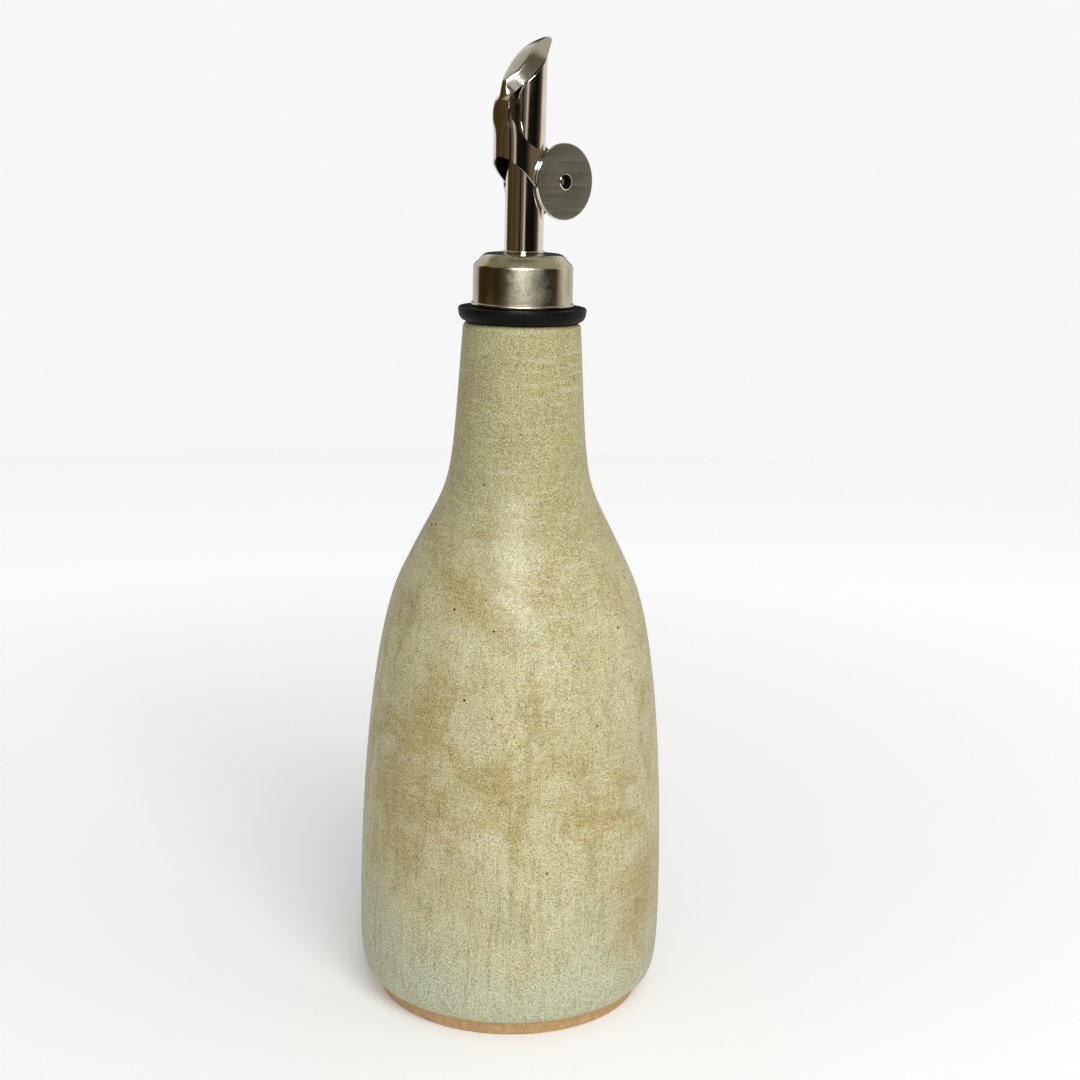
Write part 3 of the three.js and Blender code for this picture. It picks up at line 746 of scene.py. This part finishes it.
def flap_piece(material, inner):
    near, middle, far = flap_columns()
    columns = near + middle + far
    rows = 26
    vertices, faces = [], []
    for x, y in columns:
        low, high = wing_bottom(x), wing_top(x, y)
        for j in range(rows + 1):
            z = low + (high - low) * j / rows
            pressed = flare(y, z) if x < SADDLE_X else 0
            vertices.append((x + pressed, y, z))
    stride = rows + 1
    for i in range(len(columns) - 1):
        for j in range(rows):
            a = i * stride + j
            faces.append((a, a + 1, a + stride + 1, a + stride))
    below = [(len(near) + k) * stride + rows for k in range(len(middle))]
    across = len(middle) - 1
    hood_rows = 80
    for i in range(1, hood_rows + 1):
        x, z, tilt, half, depth, flat = catmull(HOOD, i / hood_rows)
        down = math.radians(tilt)
        start = len(vertices)
        for k in range(across + 1):
            y = half * (2 * k / across - 1)
            lid = min(1, max(0, (z - 56) / 3))
            drop = depth * (bent((abs(y) - flat) / (half - flat)) * lid + (y / half) ** 2 * (1 - lid))
            vertices.append((x + drop * math.cos(down), y, RIM_Z + z - drop * math.sin(down)))
        row = list(range(start, start + across + 1))
        for k in range(across):
            faces.append((below[k], row[k], row[k + 1], below[k + 1]))
        below = row
    piece = make_object("flap_sheet", vertices, faces, 60)
    solidify = piece.modifiers.new("sheet", "SOLIDIFY")
    solidify.thickness = SHEET * MM
    solidify.offset = -1
    # Painted shade: the sheet's inner face takes the darkened second material.
    solidify.material_offset = 1
    bevel(piece, 0.09, 2, 50)
    finish_piece(piece, "flap", "polished_steel", material, "flap")
    piece.data.materials.append(inner)


# --- stage ----------------------------------------------------------------------------

VIEW_AZIMUTH = 42.6             # the camera stands this far round from the disc's face
AWAY = Vector((math.sin(math.radians(VIEW_AZIMUTH)), math.cos(math.radians(VIEW_AZIMUTH)), 0))
RIGHT = Vector((AWAY.y, -AWAY.x, 0))
CAMERA_DISTANCE = 0.464         # metres
CAMERA_HEIGHT = 0.228           # metres
CAMERA_PITCH = 12.4             # degrees down
CAMERA_YAW = 0.75               # degrees towards the right
CAMERA_ROLL = 1.4               # degrees
CAMERA_LENS = 59.0              # millimetres
FLOOR_R = 900                   # millimetres

# Places of the lights in metres: away from the camera, towards its right, up.
KEY_PLACE, KEY_SIZE, KEY_POWER = (-0.75, 0.25, 0.7), (0.5, 0.5), 6.7
WINDOW_PLACE, WINDOW_SIZE, WINDOW_POWER = (-0.95, -0.02, 0.86), (0.4, 0.3), 22
LIGHT_AIM = Vector((0, 0, 0.13))


def stage_camera():
    data = bpy.data.cameras.new("camera")
    data.lens = CAMERA_LENS
    data.sensor_width = 36
    data.clip_start = 0.01
    camera = bpy.data.objects.new("camera", data)
    bpy.context.scene.collection.objects.link(camera)
    heading = Matrix.Rotation(-math.radians(CAMERA_YAW), 3, "Z") @ AWAY
    pitch = math.radians(CAMERA_PITCH)
    look = heading * math.cos(pitch) - Vector((0, 0, math.sin(pitch)))
    roll = Matrix.Rotation(math.radians(CAMERA_ROLL), 3, "Z")
    turn = look.to_track_quat("-Z", "Y").to_matrix() @ roll
    place = -AWAY * CAMERA_DISTANCE + Vector((0, 0, CAMERA_HEIGHT))
    camera.matrix_world = Matrix.Translation(place) @ turn.to_4x4()
    bpy.context.scene.camera = camera


def stage_floor():
    """A round sheet of paper that glows a little more the further it is from the bottle."""
    floor = revolve("floor", [(0, 0), (FLOOR_R, 0)], closed=False, segments=96)
    n = Nodes("pale_paper")
    fibre = n.noise(300, 4, 0.6)
    n.set(Base_Color=n.mix(fibre, (0.83, 0.83, 0.83, 1), (0.86, 0.86, 0.86, 1)))
    n.shader.inputs["Roughness"].default_value = 0.8
    n.shader.inputs["Emission Color"].default_value = (1, 1, 1, 1)
    x_squared = n.math("POWER", n.axis("X"), 2.0)
    y_squared = n.math("POWER", n.axis("Y"), 2.0)
    radius = n.math("SQRT", n.math("ADD", x_squared, y_squared))
    n.set(Emission_Strength=n.span(radius, 0.04, 0.5, 0.19, 0.48))
    floor.data.materials.append(n.material)


def area_light(name, place, size, power, mirrored=False):
    """A rectangle of light. A mirrored one only shows in metal, any other only lights."""
    away, right, up = place
    data = bpy.data.lights.new(name, "AREA")
    data.shape = "RECTANGLE"
    data.size, data.size_y = size
    data.energy = power
    lamp = bpy.data.objects.new(name, data)
    bpy.context.scene.collection.objects.link(lamp)
    lamp.visible_glossy = mirrored
    lamp.visible_diffuse = not mirrored
    lamp.location = AWAY * away + RIGHT * right + Vector((0, 0, up))
    lamp.rotation_euler = (LIGHT_AIM - lamp.location).to_track_quat("-Z", "Y").to_euler()


# What polished metal mirrors round the horizon: bearings in degrees, 0 behind the camera,
# positive to its right and 180 beyond the bottle, and linear light. The dim room is on the
# camera's side and the pale wall on the far side.
ROOM = [
    (-180, (0.05, 0.05, 0.05)),
    (-168, (0.05, 0.05, 0.05)),
    (-162, (0.95, 0.95, 0.94)),
    (-130, (0.95, 0.95, 0.94)),
    (-120, (0.08, 0.05, 0.018)),
    (-98, (0.07, 0.045, 0.014)),
    (-76, (0.11, 0.077, 0.035)),
    (-64, (0.065, 0.044, 0.02)),
    (-50, (0.12, 0.085, 0.04)),
    (-34, (0.11, 0.073, 0.042)),
    (-26, (0.01, 0.007, 0.005)),
    (-21, (0.01, 0.007, 0.005)),
    (-18, (0.2, 0.14, 0.1)),
    (-8, (0.14, 0.1, 0.07)),
    (-4, (0.75, 0.7, 0.6)),
    (3, (0.6, 0.55, 0.48)),
    (8, (0.006, 0.005, 0.004)),
    (58, (0.004, 0.004, 0.003)),
    (70, (0.04, 0.028, 0.016)),
    (84, (0.1, 0.07, 0.04)),
    (94, (0.6, 0.5, 0.4)),
    (106, (1, 1, 0.98)),
    (162, (0.95, 0.95, 0.94)),
    (168, (0.05, 0.05, 0.05)),
    (180, (0.05, 0.05, 0.05)),
]
CEILING = (0.54, 0.52, 0.43, 1)
CEILING_FRONT = (0.14, 0.12, 0.08, 1)
CEILING_FROM, CEILING_TO = 28, 48  # degrees over the horizon where the ceiling takes over
PALE = (0.93, 0.93, 0.93, 1)
DOME_LOW = (0.1, 0.1, 0.1, 1)
DOME_HIGH = (0.93, 0.93, 0.93, 1)
DOME_STRENGTH = (0.42, 0.7)     # of the soft light, from the left and from the right


def stage_world():
    """A pale surround for the camera and for soft light, and a room for metal to mirror."""
    world = bpy.data.worlds.new("studio")
    bpy.context.scene.world = world
    world.use_nodes = True
    tree = world.node_tree
    make, link = tree.nodes.new, tree.links.new

    def stretch(value, low, high, kind="LINEAR"):
        made = make("ShaderNodeMapRange")
        made.interpolation_type = kind
        link(value, made.inputs["Value"])
        made.inputs["From Min"].default_value = low
        made.inputs["From Max"].default_value = high
        return made

    def mix(factor):
        made = make("ShaderNodeMix")
        made.data_type = "RGBA"
        link(factor, made.inputs["Factor"])
        return made

    turn = make("ShaderNodeMapping")
    turn.inputs["Rotation"].default_value = (0, 0, math.radians(VIEW_AZIMUTH - 180))
    link(make("ShaderNodeTexCoord").outputs["Generated"], turn.inputs["Vector"])
    parts = make("ShaderNodeSeparateXYZ")
    link(turn.outputs["Vector"], parts.inputs[0])
    mirrored = make("ShaderNodeMath")
    mirrored.operation = "MULTIPLY"
    mirrored.inputs[1].default_value = -1
    link(parts.outputs["X"], mirrored.inputs[0])
    bearing = make("ShaderNodeMath")
    bearing.operation = "ARCTAN2"
    link(mirrored.outputs[0], bearing.inputs[0])
    link(parts.outputs["Y"], bearing.inputs[1])

    share = stretch(bearing.outputs[0], -math.pi, math.pi)
    ramp = make("ShaderNodeValToRGB")
    link(share.outputs["Result"], ramp.inputs["Fac"])
    elements = ramp.color_ramp.elements
    while len(elements) < len(ROOM):
        elements.new(1)
    for element, (degrees, light) in zip(elements, ROOM):
        element.position = (degrees + 180) / 360
        element.color = (*light, 1)

    front = stretch(parts.outputs["Y"], 0.05, 0.4)
    ceiling = mix(front.outputs["Result"])
    ceiling.inputs[6].default_value = CEILING
    ceiling.inputs[7].default_value = CEILING_FRONT
    low, high = (math.sin(math.radians(degrees)) for degrees in (CEILING_FROM, CEILING_TO))
    height = stretch(parts.outputs["Z"], low, high, "SMOOTHSTEP")
    room = mix(height.outputs["Result"])
    link(ramp.outputs["Color"], room.inputs[6])
    link(ceiling.outputs[2], room.inputs[7])

    rise = stretch(parts.outputs["Z"], 0, 0.8, "SMOOTHSTEP")
    dome = mix(rise.outputs["Result"])
    dome.inputs[6].default_value = DOME_LOW
    dome.inputs[7].default_value = DOME_HIGH
    lean = stretch(mirrored.outputs[0], -1, 1)
    lean.inputs["To Min"].default_value, lean.inputs["To Max"].default_value = DOME_STRENGTH

    seen_light = tree.nodes["Background"]
    seen_light.inputs["Color"].default_value = PALE
    soft_light = make("ShaderNodeBackground")
    link(dome.outputs[2], soft_light.inputs["Color"])
    link(lean.outputs["Result"], soft_light.inputs["Strength"])
    mirrored_light = make("ShaderNodeBackground")
    link(room.outputs[2], mirrored_light.inputs["Color"])
    path = make("ShaderNodeLightPath")
    unmirrored = make("ShaderNodeMixShader")
    link(path.outputs["Is Camera Ray"], unmirrored.inputs["Fac"])
    link(soft_light.outputs[0], unmirrored.inputs[1])
    link(seen_light.outputs[0], unmirrored.inputs[2])
    chosen = make("ShaderNodeMixShader")
    link(path.outputs["Is Glossy Ray"], chosen.inputs["Fac"])
    link(unmirrored.outputs[0], chosen.inputs[1])
    link(mirrored_light.outputs[0], chosen.inputs[2])
    link(chosen.outputs[0], tree.nodes["World Output"].inputs["Surface"])


def main():
    steel = polished_steel()
    face = brushed_steel()
    black = rubber()
    bottle_piece()
    rubber_piece(black)
    cap_piece(worn_steel())
    ring_piece(steel)
    tube_piece(steel)
    vent_piece(steel)
    knuckle_piece(steel)
    pin_piece(steel)
    flap_piece(steel, painted_inner_shade())
    disc_piece("weight_near", -1, face, steel)
    disc_piece("weight_far", 1, face, steel)
    rivet_piece(steel, painted_bore_shadow())
    sleeve_piece(steel)
    stage_camera()
    stage_floor()
    stage_world()
    area_light("key", KEY_PLACE, KEY_SIZE, KEY_POWER)
    area_light("window", WINDOW_PLACE, WINDOW_SIZE, WINDOW_POWER, mirrored=True)
    bpy.context.scene.view_settings.view_transform = "Standard"


main()
